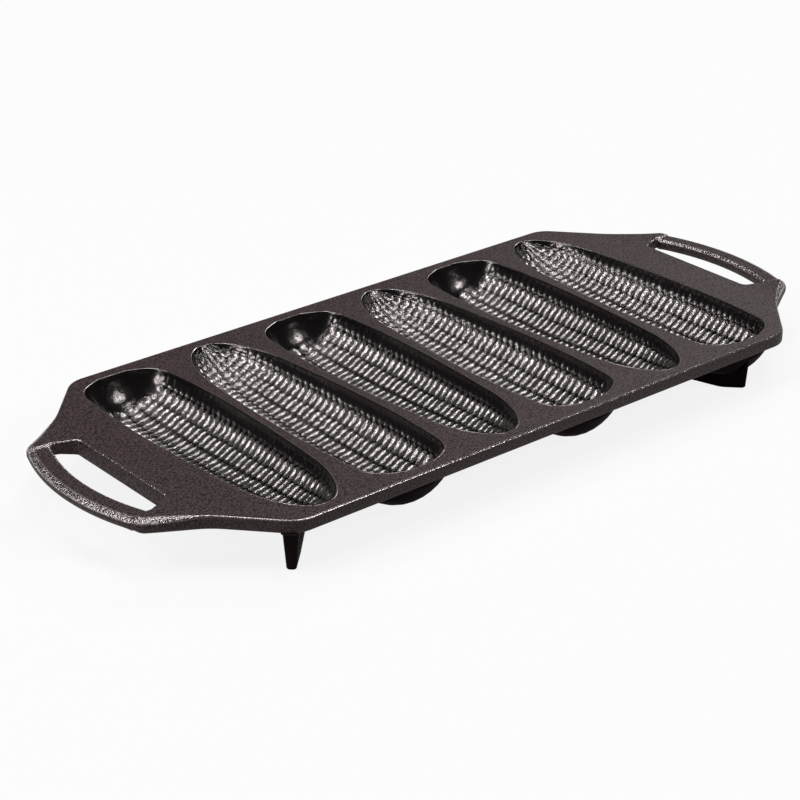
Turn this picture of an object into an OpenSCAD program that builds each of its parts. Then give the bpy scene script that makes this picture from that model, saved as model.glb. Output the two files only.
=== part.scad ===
// Cast iron corn stick pan with six cob-shaped moulds and a loop handle at each end.
// Millimetres. The feet stand on z = 0, the long side lies along X and the deck faces up.
// One solid of iron on the real pan: each node is one of its cast features, and they meet face to face.

/* [Moulds] */
// Distance from one cob's centre line to the next
mould_pitch = 43; // [42:0.5:60]
// Length of one cob-shaped cavity
cob_length = 134; // [110:1:150]
// Half the width of the cavity at its fullest
cob_half_width = 20.4; // [17:0.1:20.6]
// Height of the cob's axis above the deck, which makes the cavity shallower than half a cob
axis_height = 4.9; // [2:0.1:9]
// Thickness of the iron under a cavity
shell_wall = 2.6; // [2:0.1:5]
// Width of the rim that a mould shows in the deck
lip_width = 0.8; // [0.4:0.1:1.4]

/* [Kernels] */
// Rows of kernels across a cavity
kernel_rows = 8; // [4:1:12]
// Length of one kernel along the cob
kernel_pitch = 3.3; // [3:0.1:8]
// Depth of a kernel's pit below the ridges around it
kernel_depth = 1; // [0.3:0.1:1.6]
// Length of the smooth stem end, which has no kernels
stem_length = 11; // [6:0.5:24]

/* [Deck] */
// Deck between the end of a cavity and the long edge
end_land = 5.5; // [4.5:0.1:30]
// Thickness of the deck
deck_thickness = 5.2; // [4:0.1:8]
// Radius of the deck's four corners
corner_radius = 12; // [2:0.5:20]
// Angle of the slanting end flanks from the long side
flank_angle = 47.7; // [40:0.1:56]

/* [Handles] */
// Deck between the last cavity and the handle slot
slot_land = 19.3; // [12:0.1:40]
// Half the length of the slot on its deck side
slot_half_length = 28.5; // [20:0.5:32]
// Angle at which the slot grows longer towards the grip
slot_flare = 20.8; // [0:0.1:30]
// Radius of the slot's corners on the deck side
slot_corner_radius = 3; // [1:0.5:8]
// Clear width of the slot at its middle
finger_gap = 15.6; // [12:0.1:30]
// Radius of the grip's curve, at the middle of the bar
grip_radius = 93; // [80:1:160]
// Width of the grip bar, seen from above
grip_width = 9.1; // [6:0.1:16]
// Thickness of the grip bar
grip_thickness = 5.1; // [4:0.1:5.2]
// Step down from the deck to the top of the grip
grip_drop = 0.6; // [0:0.1:2]
// Radius of the knuckle where the flank turns into the grip
knuckle_radius = 5; // [1:0.5:8]
// Radius of the hollow between flank and knuckle
hollow_radius = 34; // [5:1:60]
// Angle of the edge that runs out to the knuckle, from the long side
knuckle_angle = 31; // [20:0.5:36]
// Distance of the knuckle past the slot's end
knuckle_rise = 8.7; // [5:0.1:10]
// Distance along the pan from the knuckle back to the hollow
knuckle_run = 20.5; // [14:0.1:26]
// Distance of the grip's outer seat past the slot's end
seat_rise = 1.7; // [0.5:0.1:3]

/* [Feet] */
// Height of the deck's face above the table
stand_height = 21.5; // [20:0.1:40]
// Length of a foot's flat tip
tip_length = 9.3; // [5:0.1:14]
// Thickness of a foot at its tip
tip_thickness = 3.6; // [2:0.1:8]
// Thickness of a foot at the deck
root_thickness = 5.8; // [3:0.1:12]
// Length of a foot along its own line
foot_length = 27; // [20:0.5:34]
// Rise of a foot's underside towards the pan's middle, in degrees
foot_rise = 14; // [5:0.5:25]
// Flare of a foot's outer end where it joins the deck
foot_flare = 3.4; // [1:0.1:4]
// Distance from the deck's long edge to a foot's tip
foot_inset = 5.1; // [4.5:0.1:12]

/* [Hidden] */

iron = "#3b3534";
seasoned_iron = "#241f1f";
mould_count = 6;
shell_sides = 8;
arc_angle = 6;
cut_margin = 40;

// Outline of half a cob: share of the length from the stem, and share of the full half width
shoulder_bend = [[0, 0.29], [0.022, 0.66], [0.034, 0.83], [0.085, 0.905]];
belly_bend = [[0.085, 0.905], [0.28, 1.05], [0.52, 0.99], [0.79, 0.828]];
nose_bend = [[0.79, 0.828], [0.9, 0.745], [0.985, 0.44], [1, 0.09]];
bend_count = 10;

function bezier(p, u) =
    pow(1 - u, 3) * p[0] + 3 * u * pow(1 - u, 2) * p[1] + 3 * u * u * (1 - u) * p[2] + pow(u, 3) * p[3];

cob_curve = concat([for (i = [0 : bend_count - 1]) bezier(shoulder_bend, i / bend_count)],
                   [for (i = [0 : bend_count - 1]) bezier(belly_bend, i / bend_count)],
                   [for (i = [0 : bend_count]) bezier(nose_bend, i / bend_count)]);

function cob_half(s) = cob_half_width * lookup(s / cob_length, cob_curve);
function lip_half(s) = min(cob_half(s) + lip_width, mould_pitch / 2);
function shell_half(s) = min(cob_half(s) + shell_wall, mould_pitch / 2);
function along(s, margin) = (cob_length / 2 - s) * (cob_length + 2 * margin) / cob_length;

// Stations along the cob: the smooth stem end, the kernels, and the closing curve of the nose
stem_rings = 6;
nose_rings = 4;
nose_length = 3.6;
kernel_count = floor((cob_length - stem_length - nose_length) / kernel_pitch);
kernel_end = stem_length + kernel_count * kernel_pitch;
stations = concat(
    [for (i = [0 : stem_rings - 1]) stem_length * pow(i / stem_rings, 1.6)],
    [for (i = [0 : kernel_count]) stem_length + i * kernel_pitch],
    [for (i = [1 : nose_rings]) cob_length - (cob_length - kernel_end) * pow(1 - i / nose_rings, 1.8)]);
ring_count = len(stations);

// A point of the cavity, across from -1 to 1, and sunk below the ridges by some depth
function cavity_point(s, across, sunk = 0) =
    let (half = cob_half(s),
         reach = sqrt(half * half + axis_height * axis_height),
         angle = across * acos(axis_height / reach))
    [(reach + sunk) * sin(angle), along(s, 0), axis_height - (reach + sunk) * cos(angle)];

// A point of the shell's underside, across from -1 to 1
function shell_point(s, across) =
    let (half = shell_half(s),
         sunk_axis = axis_height + deck_thickness,
         reach = sqrt(half * half + sunk_axis * sunk_axis),
         angle = across * acos(sunk_axis / reach))
    [reach * sin(angle), along(s, shell_wall), axis_height - reach * cos(angle)];

// The outside of a mould at one station, from its rim at -X round to its rim at +X
function outside_ring(s) = concat(
    [[-lip_half(s), along(s, lip_width), 0], [-lip_half(s), along(s, lip_width), -deck_thickness]],
    [for (j = [0 : shell_sides]) shell_point(s, 2 * j / shell_sides - 1)],
    [[lip_half(s), along(s, lip_width), -deck_thickness], [lip_half(s), along(s, lip_width), 0]]);

outside_points = shell_sides + 5;
inside_points = kernel_rows + 1;

// Faces between two neighbouring rings of points, wound one way or the other
function band_faces(first, per_ring, rings, flipped) =
    [for (i = [0 : rings - 2], j = [0 : per_ring - 2], half = [0, 1])
        let (a = first + i * per_ring + j,
             b = a + 1,
             c = a + per_ring + 1,
             d = a + per_ring,
             face = half == 0 ? [a, b, c] : [a, c, d])
        flipped ? [face[2], face[1], face[0]] : face];

// The cavity's surface: plain bands at stem and nose, a four-sided pit for each kernel between
inside_grid = [for (s = stations, j = [0 : kernel_rows]) cavity_point(s, 2 * j / kernel_rows - 1)];
pit_points = [for (i = [0 : kernel_count - 1], j = [0 : kernel_rows - 1])
    cavity_point(stem_length + (i + 0.5) * kernel_pitch, (2 * j + 1) / kernel_rows - 1, kernel_depth)];
outside_grid = [for (s = stations) each outside_ring(s)];
pit_start = len(inside_grid);
outside_start = pit_start + len(pit_points);
nose_ring = stem_rings + kernel_count;
last_inside = (ring_count - 1) * inside_points;
last_outside = outside_start + (ring_count - 1) * outside_points;

pit_faces = [for (i = [0 : kernel_count - 1], j = [0 : kernel_rows - 1])
    let (a = (stem_rings + i) * inside_points + j,
         b = a + 1,
         c = a + inside_points + 1,
         d = a + inside_points,
         pit = pit_start + i * kernel_rows + j)
    each [[a, b, pit], [b, c, pit], [c, d, pit], [d, a, pit]]];

rim_faces = [for (i = [0 : ring_count - 2])
    let (a = i * inside_points,
         b = outside_start + i * outside_points,
         far_a = a + inside_points - 1,
         far_b = b + outside_points - 1)
    each [[a, a + inside_points, b], [a + inside_points, b + outside_points, b],
          [far_a, far_b, far_a + inside_points], [far_a + inside_points, far_b, far_b + outside_points]]];

function reversed(list) = [for (i = [len(list) - 1 : -1 : 0]) list[i]];

// The flat ends of deck wall, step and shell, at the outside ring that starts at point b
function outside_end(b, flipped) =
    let (last = outside_points - 1,
         faces = [[b + 1, b + last - 1, b + last, b],
                  [b + 2, b + last - 2, b + last - 1, b + 1],
                  [for (j = [2 : last - 2]) b + j]])
    [for (face = faces) flipped ? reversed(face) : face];

// The flat ends of the cavity and of the rim, at the inside ring from a and the outside ring from b
function inside_end(a, b, flipped) =
    let (far_a = a + inside_points - 1,
         far_b = b + outside_points - 1,
         faces = [[for (j = [0 : inside_points - 1]) far_a - j],
                  [b, far_b, far_a, a]])
    [for (face = faces) flipped ? reversed(face) : face];

// Centre line of a mould, and which way it lies: odd ones have the stem at the far side
function mould_x(number) = (number - (mould_count + 1) / 2) * mould_pitch;

module place_mould(number) {
    translate([mould_x(number), 0, stand_height])
        rotate([0, 0, number % 2 == 1 ? 0 : 180])
            children();
}

module corn_well(number) {
    color(seasoned_iron)
        place_mould(number)
            polyhedron(points = concat(inside_grid, pit_points, outside_grid),
                       faces = concat(band_faces(0, inside_points, stem_rings + 1, false),
                                      pit_faces,
                                      band_faces(nose_ring * inside_points, inside_points,
                                                 ring_count - nose_ring, false),
                                      band_faces(outside_start, outside_points, ring_count, true),
                                      rim_faces,
                                      inside_end(0, outside_start, false),
                                      inside_end(last_inside, last_outside, true),
                                      outside_end(outside_start, false),
                                      outside_end(last_outside, true)),
                       convexity = 6);
}

// The space inside a mould's shell, carried up past the deck's underside, which the feet leave free
function block_ring(s) = concat(
    [[-shell_half(s), along(s, shell_wall), 0]],
    [for (j = [0 : shell_sides]) shell_point(s, 2 * j / shell_sides - 1)],
    [[shell_half(s), along(s, shell_wall), 0]]);

block_points = shell_sides + 3;

module mould_block(number) {
    last = (ring_count - 1) * block_points;
    place_mould(number)
        polyhedron(points = [for (s = stations) each block_ring(s)],
                   faces = concat(band_faces(0, block_points, ring_count, true),
                                  [for (i = [0 : ring_count - 2])
                                      let (a = i * block_points, b = a + block_points - 1)
                                      each [[a, b, b + block_points],
                                            [a, b + block_points, a + block_points]]],
                                  [[for (j = [0 : block_points - 1]) j]],
                                  [[for (j = [block_points - 1 : -1 : 0]) last + j]]),
                   convexity = 6);
}

module mould_opening(number) {
    translate([mould_x(number), 0])
        rotate(number % 2 == 1 ? 0 : 180)
            polygon(concat([for (s = stations) [lip_half(s), along(s, lip_width)]],
                           [for (i = [ring_count - 1 : -1 : 0])
                               [-lip_half(stations[i]), along(stations[i], lip_width)]]));
}

// End of the deck, worked out from the last mould
last_x = mould_x(mould_count);
slot_x = last_x + cob_half_width + slot_land;
grip_x = slot_x + finger_gap + grip_width / 2;
grip_centre_x = grip_x - grip_radius;
grip_outer = grip_radius + grip_width / 2;
grip_inner = grip_radius - grip_width / 2;

function slot_line_y(x) = slot_half_length + (x - slot_x) * tan(slot_flare);
function grip_edge_x(radius, y) = grip_centre_x + sqrt(radius * radius - y * y);

// The grip's seat on the deck runs from the slot's end to the outside of the bar
knuckle_y = slot_half_length + knuckle_rise;
knuckle_x = grip_edge_x(grip_outer, knuckle_y);
seat_outer = [grip_edge_x(grip_outer, slot_half_length + seat_rise), slot_half_length + seat_rise];
root_x = grip_edge_x(grip_inner, slot_half_length + 2 * seat_rise);
seat_inner = [root_x, slot_line_y(root_x)];

// The edge runs back from the knuckle to the hollow, and the flank from there to the long edge
hollow_x = knuckle_x - knuckle_run;
hollow_y = knuckle_y + knuckle_run * tan(knuckle_angle);
deck_half = cob_length / 2 + end_land;
corner_x = hollow_x - (deck_half - hollow_y) / tan(flank_angle);

// Points of an arc of a given radius that rounds the corner at p, between its neighbours before and after
function rounded(before, p, after, radius) =
    let (u = (before - p) / norm(before - p),
         v = (after - p) / norm(after - p),
         half_turn = acos(max(-1, min(1, u * v))) / 2,
         centre = p + (u + v) / norm(u + v) * radius / sin(half_turn),
         start = p + u * radius / tan(half_turn) - centre,
         finish = p + v * radius / tan(half_turn) - centre,
         turn = atan2(start[0] * finish[1] - start[1] * finish[0], start * finish),
         steps = max(2, ceil(abs(turn) / arc_angle)))
    [for (i = [0 : steps])
        let (a = turn * i / steps)
        centre + [start[0] * cos(a) - start[1] * sin(a), start[0] * sin(a) + start[1] * cos(a)]];

// One quarter of the deck's outline, from the long edge round to the slot
corner = [corner_x, deck_half];
hollow = [hollow_x, hollow_y];
knuckle = [knuckle_x, knuckle_y];
slot_corner = [slot_x, slot_half_length];

quarter = concat(rounded([0, deck_half], corner, hollow, corner_radius),
                 rounded(corner, hollow, knuckle, hollow_radius),
                 rounded(hollow, knuckle, seat_outer, knuckle_radius),
                 [seat_outer, seat_inner],
                 rounded(seat_inner, slot_corner, [slot_x, 0], slot_corner_radius));

deck_outline = concat(quarter,
                      [for (p = reversed(quarter)) [p[0], -p[1]]],
                      [for (p = quarter) -p],
                      [for (p = reversed(quarter)) [-p[0], p[1]]]);

module deck_plate() {
    color(iron)
        translate([0, 0, stand_height - deck_thickness])
            linear_extrude(deck_thickness)
                difference() {
                    polygon(deck_outline);
                    for (number = [1 : mould_count])
                        mould_opening(number);
                }
}

// The bar of a grip: a rounded section swept round the grip's centre, cut off at the slot's ends
module grip_section() {
    end_radius = grip_thickness / 2;
    translate([grip_radius, 0]) {
        square([grip_width - grip_thickness, grip_thickness], center = true);
        for (side = [-1, 1])
            translate([side * (grip_width / 2 - end_radius), 0])
                circle(end_radius, $fn = 40);
    }
}

module grip_bar() {
    intersection() {
        translate([grip_centre_x, 0, stand_height - grip_drop - grip_thickness / 2])
            rotate_extrude($fn = 180)
                grip_section();
        translate([0, 0, stand_height - cut_margin])
            linear_extrude(2 * cut_margin)
                polygon([[seat_inner[0], -seat_inner[1]],
                         [seat_outer[0], -seat_outer[1]],
                         [seat_outer[0] + cut_margin, -seat_outer[1]],
                         seat_outer + [cut_margin, 0],
                         seat_outer,
                         seat_inner]);
    }
}

module left_handle() {
    color(iron)
        rotate([0, 0, 180])
            grip_bar();
}

module right_handle() {
    color(iron)
        grip_bar();
}

// A foot, drawn from its outer tip inwards along +X, with its tip at z = 0
foot_top = stand_height - deck_thickness;
tip_draft = 0.8;
flare_count = 5;

foot_side = concat(
    [[foot_length, foot_top], [foot_length, (foot_length - tip_length) * tan(foot_rise)],
     [tip_length, 0], [0, 0], [-tip_draft, foot_top - foot_flare]],
    [for (i = [1 : flare_count])
        [-tip_draft - foot_flare * (1 - cos(90 * i / flare_count)),
         foot_top - foot_flare * (1 - sin(90 * i / flare_count))]]);

function foot_half(z) = (tip_thickness + (root_thickness - tip_thickness) * z / foot_top) / 2;

module foot_fin() {
    count = len(foot_side);
    points = [for (side = [-1, 1], p = foot_side) [p[0], side * foot_half(p[1]), p[1]]];
    polyhedron(points = points,
               faces = concat([[for (i = [0 : count - 1]) i]],
                              [[for (i = [count - 1 : -1 : 0]) count + i]],
                              [for (i = [0 : count - 1])
                                  let (next = (i + 1) % count)
                                  each [[i, count + i, next], [next, count + i, count + next]]]),
               convexity = 4);
}

// A foot under the right-hand mould, which takes the fin's inner end inside its own half pitch
module right_foot(x, y, heading) {
    inner_x = last_x - mould_pitch / 2;
    color(iron)
        difference() {
            intersection() {
                translate([x, y, 0])
                    rotate([0, 0, heading])
                        foot_fin();
                translate([inner_x, -deck_half, 0])
                    cube([knuckle_x - inner_x, 2 * deck_half, foot_top]);
            }
            mould_block(mould_count);
        }
}

foot_y = deck_half - foot_inset;

module foot_near_right() {
    right_foot(last_x, -foot_y, 135);
}

module foot_far_right() {
    right_foot(corner_x, foot_y, 225);
}

module foot_near_left() {
    rotate([0, 0, 180])
        foot_far_right();
}

module foot_far_left() {
    rotate([0, 0, 180])
        foot_near_right();
}

deck_plate();
corn_well(1);  // corn_well_1
corn_well(2);  // corn_well_2
corn_well(3);  // corn_well_3
corn_well(4);  // corn_well_4
corn_well(5);  // corn_well_5
corn_well(6);  // corn_well_6
left_handle();
right_handle();
foot_near_left();
foot_near_right();
foot_far_left();
foot_far_right();
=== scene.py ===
import bpy
import bmesh
import math
import random
from bisect import bisect_right
from itertools import product
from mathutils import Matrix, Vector, noise
from mathutils.geometry import delaunay_2d_cdt


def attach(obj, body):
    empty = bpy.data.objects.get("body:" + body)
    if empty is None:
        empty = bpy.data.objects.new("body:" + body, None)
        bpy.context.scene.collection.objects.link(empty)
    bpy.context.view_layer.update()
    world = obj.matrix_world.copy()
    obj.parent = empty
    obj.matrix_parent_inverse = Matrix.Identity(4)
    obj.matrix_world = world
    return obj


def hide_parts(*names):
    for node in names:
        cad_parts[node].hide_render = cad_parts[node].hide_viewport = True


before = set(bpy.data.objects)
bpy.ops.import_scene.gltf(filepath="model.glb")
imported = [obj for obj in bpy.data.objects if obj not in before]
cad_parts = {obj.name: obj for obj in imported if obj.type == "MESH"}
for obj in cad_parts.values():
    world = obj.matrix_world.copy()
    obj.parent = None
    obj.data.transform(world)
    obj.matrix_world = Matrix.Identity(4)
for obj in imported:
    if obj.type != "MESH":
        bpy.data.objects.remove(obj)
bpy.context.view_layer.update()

mm = 0.001
deckTop = 21.5          # height of the deck's face above the table, in mm
weldDistance = 0.004    # points nearer than this are one point, in mm


def smoothStep(low, high, value):
    t = max(0.0, min(1.0, (value - low) / (high - low)))
    return t * t * (3 - 2 * t)


def mix(a, b, t):
    return a + (b - a) * t


# The cob's outline and its kernels

cobMould = {
    "count": 6,
    "pitch": 43.0,                     # from one cob's centre line to the next
    "length": 134.0,
    "halfWidth": 20.4,
    "axisHeight": 4.9,                 # the cob's axis lies this far above the deck
    "lipRound": 0.5,                   # rounding of the cavity's edge
    "rimWidth": 0.8,                   # flat rim between cavity and deck
    "wall": 2.6,
    "deckThickness": 5.2,
    # kernels
    "seed": 11,
    "rows": 8,
    "kernelPitch": 3.38,
    "pitchSpread": (0.94, 1.06),       # shortest and longest kernel, as shares of the pitch
    "kernelDepth": 0.68,
    "depthSpread": (0.85, 1.12),       # shallowest and deepest, as shares of the depth
    "rowDepths": (0.35, 0.85, 1, 1),   # from the lip inwards, shallow where the wall is steep
    "rowWander": 0.06,                 # how far the rows stray, as a share of a row
    "wanderScale": (0.09, 1.5),        # along and across
    "ovalAcross": 2.8,                 # powers of the kernel's rounded-off outline
    "ovalAlong": 2.6,
    "ovalPower": 0.37,
    "bowlPower": 0.8,
    "ridgeShare": 0.5,                 # 0 for round bowls on a plain ground, 1 for bowls that meet in ridges
    "ridgeFall": 0.5,
    "stemLength": 5.8,                 # smooth dimple before the first kernels
    "stemCurve": 2.5,                  # the outer rows begin this much later
    "stemSpread": 1.0,                 # and every row up to this much earlier or later
    "youngReach": 12.0,                # within this of the stem the kernels are larger, and darker by painted shade
    "youngGrowth": 0.25,
    "noseMargin": 3.0,                 # no kernel begins nearer to the nose
    "lipFade": (0.3, 2.2),             # depth below the deck where the kernels set in
    "noseGap": 1.0,                    # smooth tip of the nose
    "noseFade": 5.0,                   # and the way in which the kernels set in there
    "unevenness": 0.09,                # soft lumps of the casting
    "unevenScale": 0.45,
    "lumpShift": 9,                    # gives each mould lumps of its own
    # dark seasoning and painted shade, from 0 to 1: the kernels' dark outlines and middles and the dark
    # steep walls are painted shade
    "plainTone": 0.82,                 # where there are no kernels
    "wallShade": 0.85,                  # painted shade on the steep walls under the lip
    "wallReach": (0.74, 0.82),
    "outlineShadeReach": (0.86, 1.0),       # where a kernel's dark outline, painted shade on its rim, sets in and is full
    "coreShades": (0.15, 0.65),         # palest and darkest painted shade in the middle of a kernel
    "coreShadeReach": (0.10, 0.45),
    "youngShade": 0.4,                  # more painted shade added to the middles beside the stem
    # mesh
    "bendSteps": 40,
    "acrossRow": 11,                   # steps across one row of kernels
    "alongStep": 0.32,                 # step along the cob
    "endStep": 0.4,                    # share of it at the stem and at the nose
    "endReach": (0.2, 4.0),
    "endGap": 0.2,                     # from the last step to the nose's end
    "lastStep": 0.05,                  # shortest last step
    "uprightSteps": 3,
    "lipSteps": 5,
    "shellLevels": 9,
}

# half the cob's outline as curves, from the stem to the nose: shares of its length and of its half width
cobBends = [[(0, 0.29), (0.022, 0.66), (0.034, 0.83), (0.085, 0.905)],
            [(0.085, 0.905), (0.28, 1.05), (0.52, 0.99), (0.79, 0.828)],
            [(0.79, 0.828), (0.9, 0.745), (0.985, 0.44), (1, 0.09)]]


def bezier(points, t):
    a, b, c, d = points
    rest = 1 - t
    return tuple(rest ** 3 * a[k] + 3 * t * rest ** 2 * b[k] + 3 * t * t * rest * c[k] + t ** 3 * d[k]
                 for k in (0, 1))


bendShares = [i / cobMould["bendSteps"] for i in range(cobMould["bendSteps"])]
cobCurve = [bezier(bend, t) for bend in cobBends for t in bendShares] + [cobBends[-1][-1]]
cobShares = [point[0] for point in cobCurve]


def cobHalf(s):
    share = max(0.0, min(1.0, s / cobMould["length"]))
    i = max(0, min(len(cobCurve) - 2, bisect_right(cobShares, share) - 1))
    (x0, w0), (x1, w1) = cobCurve[i], cobCurve[i + 1]
    return cobMould["halfWidth"] * mix(w0, w1, (share - x0) / (x1 - x0))


def mouldX(number):
    return (number - (cobMould["count"] + 1) / 2) * cobMould["pitch"]


def turned(number, x, y):
    # odd moulds have the stem at the far side, even ones are turned by half a turn
    return (mouldX(number) + x, y) if number % 2 else (mouldX(number) - x, -y)


def kernelLayout(seed):
    # where each row's kernels begin and end along the cob, how deep each one is and how much painted shade
    # lies in its middle
    cob = cobMould
    dice = random.Random(seed)
    middle = (cob["rows"] - 1) / 2
    layout = []
    for row in range(cob["rows"]):
        fromMiddle = abs(row - middle) / middle
        stray = dice.uniform(-cob["stemSpread"], cob["stemSpread"])
        s = cob["stemLength"] + cob["stemCurve"] * fromMiddle + stray
        edges, depths, cores = [s], [], []
        while s < cob["length"] - cob["noseMargin"]:
            young = max(0.0, 1 - (s - cob["stemLength"]) / cob["youngReach"])
            growth = 1 + cob["youngGrowth"] * young
            s += cob["kernelPitch"] * growth * dice.uniform(*cob["pitchSpread"])
            edges.append(s)
            depths.append(dice.uniform(*cob["depthSpread"]) * growth)
            cores.append(min(1.0, dice.uniform(*cob["coreShades"]) + cob["youngShade"] * young))
        layout.append((edges, depths, cores))
    return layout


def kernelAt(s, u, layout, seed):
    # how far the surface is sunk here, and how much dark seasoning and painted shade lies on it
    cob = cobMould
    alongScale, acrossScale = cob["wanderScale"]
    wander = cob["rowWander"] * noise.noise((s * alongScale, u * acrossScale, seed))
    across = (u + 1) / 2 * cob["rows"] + wander
    row = max(0, min(cob["rows"] - 1, int(across)))
    edges, depths, cores = layout[row]
    i = bisect_right(edges, s) - 1
    if i < 0 or i >= len(depths):
        return 0.0, cob["plainTone"]
    a = (across - row) * 2 - 1
    b = (s - edges[i]) / (edges[i + 1] - edges[i]) * 2 - 1
    oval = (abs(a) ** cob["ovalAcross"] + abs(b) ** cob["ovalAlong"]) ** cob["ovalPower"]   # 1 on the edge
    bowl = max(0.0, 1 - oval * oval) ** cob["bowlPower"]
    ridged = bowl if i == 0 else 1 - cob["ridgeFall"] * (a * a + b * b)
    depth = cob["kernelDepth"] * depths[i] * cob["rowDepths"][min(row, cob["rows"] - 1 - row)]
    # painted shade: dark outlines on the kernels' rims, dark middles, and dark steep walls under the lip
    outline = smoothStep(*cob["outlineShadeReach"], oval)
    core = cores[i] * (1 - smoothStep(*cob["coreShadeReach"], oval))
    wall = cob["wallShade"] * smoothStep(*cob["wallReach"], abs(u))
    return depth * mix(bowl, ridged, cob["ridgeShare"]), max(outline, core, wall)


def cavityPoint(s, u, sink):
    # a point of the cavity: s along the cob, u from lip to lip, sunk below the plain cob
    half = cobHalf(s)
    reach = math.hypot(half, cobMould["axisHeight"])
    angle = u * math.acos(cobMould["axisHeight"] / reach)
    return ((reach + sink) * math.sin(angle), cobMould["length"] / 2 - s,
            cobMould["axisHeight"] - (reach + sink) * math.cos(angle))


def shellPoint(s, u):
    # underside of the shell: s along the cob, u from rim to rim
    half = min(cobHalf(s) + cobMould["wall"], cobMould["pitch"] / 2)
    sunkAxis = cobMould["axisHeight"] + cobMould["deckThickness"]
    reach = math.hypot(half, sunkAxis)
    angle = u * math.acos(sunkAxis / reach)
    stretch = (cobMould["length"] + 2 * cobMould["wall"]) / cobMould["length"]
    return (reach * math.sin(angle), (cobMould["length"] / 2 - s) * stretch,
            cobMould["axisHeight"] - reach * math.cos(angle))


def movedLoop(points, distance):
    # a closed loop of plan points moved to its left, seen along its run
    moved = []
    for i, (x, y) in enumerate(points):
        (ax, ay), (bx, by) = points[i - 1], points[(i + 1) % len(points)]
        size = math.hypot(bx - ax, by - ay) or 1.0
        moved.append((x - (by - ay) / size * distance, y + (bx - ax) / size * distance))
    return moved


def stationsAlong():
    # places along the cob, closer together at the stem and at the nose
    places, s = [], 0.0
    while s < cobMould["length"] - cobMould["endGap"] - cobMould["lastStep"]:
        places.append(s)
        near = min(s, cobMould["length"] - s)
        s += cobMould["alongStep"] * mix(cobMould["endStep"], 1, smoothStep(*cobMould["endReach"], near))
    return places + [cobMould["length"] - cobMould["endGap"]]


stations = stationsAlong()
acrossCount = cobMould["rows"] * cobMould["acrossRow"]


def lipPlan():
    # the cavity's edge seen from above: from the nose up the left side, across the stem end, down the right
    length = cobMould["length"]
    spread = [s * length / stations[-1] for s in stations[:-1]]
    left = [(-cobHalf(s), length / 2 - s) for s in spread]
    right = [(cobHalf(s), length / 2 - s) for s in spread]
    stem = [(cobHalf(0) * (2 * j / acrossCount - 1), length / 2) for j in range(1, acrossCount)]
    return [(0.0, -length / 2)] + left[::-1] + stem + right


lip = lipPlan()
rimInner = movedLoop(lip, cobMould["lipRound"])
rimOuter = movedLoop(lip, cobMould["rimWidth"])
print("cob outline ready:", len(lip), "points round the lip")


# Helpers for meshes and nodes

def solidPiece(name, points, faces, finishes, flats, materials, normals=None, tones=None):
    mesh = bpy.data.meshes.new(name)
    mesh.from_pydata([(x * mm, y * mm, z * mm) for x, y, z in points], [], faces)
    if tones:
        mesh.attributes.new("seasoningAndShade", "FLOAT", "POINT").data.foreach_set("value", tones)
    for polygon, finish, flat in zip(mesh.polygons, finishes, flats):
        polygon.material_index = finish
        polygon.use_smooth = not flat
    for material in materials:
        mesh.materials.append(material)
    if normals is None:
        work = bmesh.new()
        work.from_mesh(mesh)
        bmesh.ops.remove_doubles(work, verts=work.verts, dist=weldDistance * mm)
        bmesh.ops.recalc_face_normals(work, faces=work.faces)
        work.to_mesh(mesh)
        work.free()
    else:
        mesh.normals_split_custom_set(normals)
    mesh.update()
    piece = bpy.data.objects.new(name, mesh)
    bpy.context.scene.collection.objects.link(piece)
    return piece


def addNodes(tree, **kinds):
    return {name: tree.nodes.new(kind) for name, kind in kinds.items()}


def join(tree, source, output, target, slot):
    tree.links.new(source.outputs[output], target.inputs[slot])


# Materials: one iron for the deck, grips and ears, one for the moulds, one for undersides and feet, darker
# than the deck's iron as painted shade under the deck

ironFinish = {
    "deckColour": (0.053, 0.034, 0.035),
    "deckSpeckle": (0.2, 1.8),       # darkest and palest grain, as shares of the colour
    "deckSpeckleReach": (0.38, 0.62),
    "deckRoughness": 0.56,
    "deckShine": 0.25,               # level of its highlights, where 0.5 is usual
    "deckSkin": 0.07,                # height of the casting's skin, in mm
    "deckGrain": 1200,               # grains and mottles in a metre
    "deckMottle": 170,
    "edgeColour": (0.42, 0.38, 0.37),
    "edgeRoughness": 0.15,
    "edgeMetallic": 0.85,
    "edgeSkin": 1.2,                 # how much rougher the skin is on edges
    "edgeRise": (0.28, 0.55),        # upward slope where the wear sets in and is full
    "edgeFall": (0.995, 0.93),       # and the same from the flat top
    "gripSkin": 9.0,                 # how much rougher the skin is on the grips and the ears beside them
    "gripReach": (0.142, 0.158),     # where that sets in, in metres from the middle
    "pebbleSize": 850,
    "pebbleMottle": 160,
    "mouldColour": (0.42, 0.385, 0.38),
    # dark seasoning and painted shade, mixed over the bare iron by the kernels' tones
    "mouldDark": (0.03, 0.025, 0.025),
    "mouldSpeckle": (0.8, 1.2),
    "mouldRoughness": 0.25,
    "mouldMetallic": 0.9,
    "mouldSkin": 0.11,
    "mouldGrain": 1300,
    "mouldMottle": 260,
    "darkeningReach": (0.4, 0.9),     # tone of the seasoning and painted shade where the grain starts to be filled, and where it is filled
    "darkeningSkin": 0.3,
    "darkeningRoughness": 0.7,        # share of the bare iron's roughness
    # darker than the deck's iron: painted shade on the shells and feet that stand under the deck
    "undersideColour": (0.022, 0.013, 0.014),
    "undersideSpeckle": (0.7, 1.3),
    "undersideRoughness": 0.75,
    "undersideShine": 0.02,          # matt, so that the shells and feet under the deck stay dark
    "undersideSkin": 0.10,
    "undersideGrain": 1100,
    "undersideMottle": 150,
    "grainReach": (0.3, 0.7),        # the noise's usual lows and highs
    "grainDetail": 3,
    "mottleDetail": 4,
    "pitReach": 0.5,                 # pits reach this far round their middles
    "pitShare": 0.4,
    "mottleShare": 0.8,
}


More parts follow.
